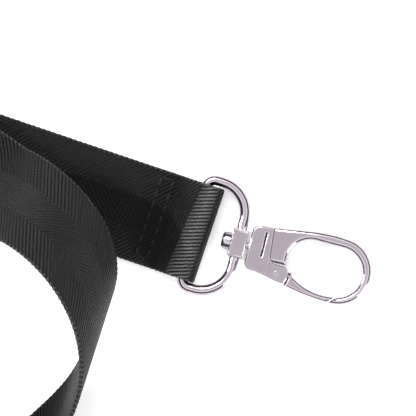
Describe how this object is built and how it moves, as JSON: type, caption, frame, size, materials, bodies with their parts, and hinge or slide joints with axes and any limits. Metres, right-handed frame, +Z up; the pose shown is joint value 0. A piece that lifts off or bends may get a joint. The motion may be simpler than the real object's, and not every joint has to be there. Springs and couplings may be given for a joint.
{
  "type": "dog harness strap with swivel snap hooks",
  "caption": "Flat webbing strap of a no pull dog harness, with a swivel snap hook sewn to each end and a leash ring in a fold of the strap.",
  "frame": {"origin": "on the underside of the sewn end of hook A, in the middle of the sewn tail, on the surface the strap lies on", "axes": "+Z up from the surface the strap lies on, +X along the sewn tail towards hook A, +Y to the left of +X"},
  "size_m": [0.1768, 0.2924, 0.0377],
  "materials": {
    "webbing": "matt woven polyester, twill ribs",
    "thread": "matt bonded thread",
    "nickel_cast": "bright nickel plate over a zinc casting",
    "nickel_wire": "bright nickel plate over steel wire",
    "steel_rivet": "nickel plated, worn by turning",
    "spring_steel": "drawn spring wire"
  },
  "bodies": {
    "strap": {"webbing_strap": "webbing", "stitching_a": "thread", "stitching_b": "thread"},
    "bow_a_body": {"bow_a": "nickel_wire", "swivel_collar_a": "nickel_cast"},
    "hook_a_body": {"hook_body_a": "nickel_cast", "swivel_rivet_a": "steel_rivet", "gate_pin_a": "steel_rivet", "gate_spring_a": "spring_steel"},
    "gate_a_body": {"gate_a": "nickel_cast"},
    "bow_b_body": {"bow_b": "nickel_wire", "swivel_collar_b": "nickel_cast"},
    "hook_b_body": {"hook_body_b": "nickel_cast", "swivel_rivet_b": "steel_rivet", "gate_pin_b": "steel_rivet", "gate_spring_b": "spring_steel"},
    "gate_b_body": {"gate_b": "nickel_cast"},
    "leash_ring_body": {"leash_ring": "nickel_wire"}
  },
  "joints": [
    {"name": "bow_a_swing", "type": "hinge", "parent": "strap", "child": "bow_a_body", "pos_m": [0.00635, -0.00006, 0.0034], "axis": [-0.0698, 0.9976, 0], "range_deg": [-70, 70]},
    {"name": "hook_a_swivel", "type": "hinge", "parent": "bow_a_body", "child": "hook_a_body", "pos_m": [0.01802, 0.00076, 0.0034], "axis": [0.9976, 0.0698, 0], "continuous": true},
    {"name": "gate_a_open", "type": "hinge", "parent": "hook_a_body", "child": "gate_a_body", "pos_m": [0.02965, -0.00344, 0.0034], "axis": [0, 0, 1], "range_deg": [0, 26], "stiffness_Nm_per_rad": 0.004, "springref_deg": -20.05, "deforming": ["gate_spring_a"]},
    {"name": "bow_b_swing", "type": "hinge", "parent": "strap", "child": "bow_b_body", "pos_m": [-0.09896, -0.23147, 0.0034], "axis": [0.9085, -0.4178, 0], "range_deg": [-70, 70]},
    {"name": "hook_b_swivel", "type": "hinge", "parent": "bow_b_body", "child": "hook_b_body", "pos_m": [-0.10385, -0.2421, 0.0034], "axis": [-0.4178, -0.9085, 0], "continuous": true},
    {"name": "gate_b_open", "type": "hinge", "parent": "hook_b_body", "child": "gate_b_body", "pos_m": [-0.11311, -0.25028, 0.0034], "axis": [0, 0, 1], "range_deg": [0, 26], "stiffness_Nm_per_rad": 0.004, "springref_deg": -20.05, "deforming": ["gate_spring_b"]},
    {"name": "leash_ring_swing", "type": "hinge", "parent": "strap", "child": "leash_ring_body", "pos_m": [-0.05974, -0.0006, 0.0035], "axis": [0.1374, 0.9905, 0], "range_deg": [-70, 120]}
  ]
}
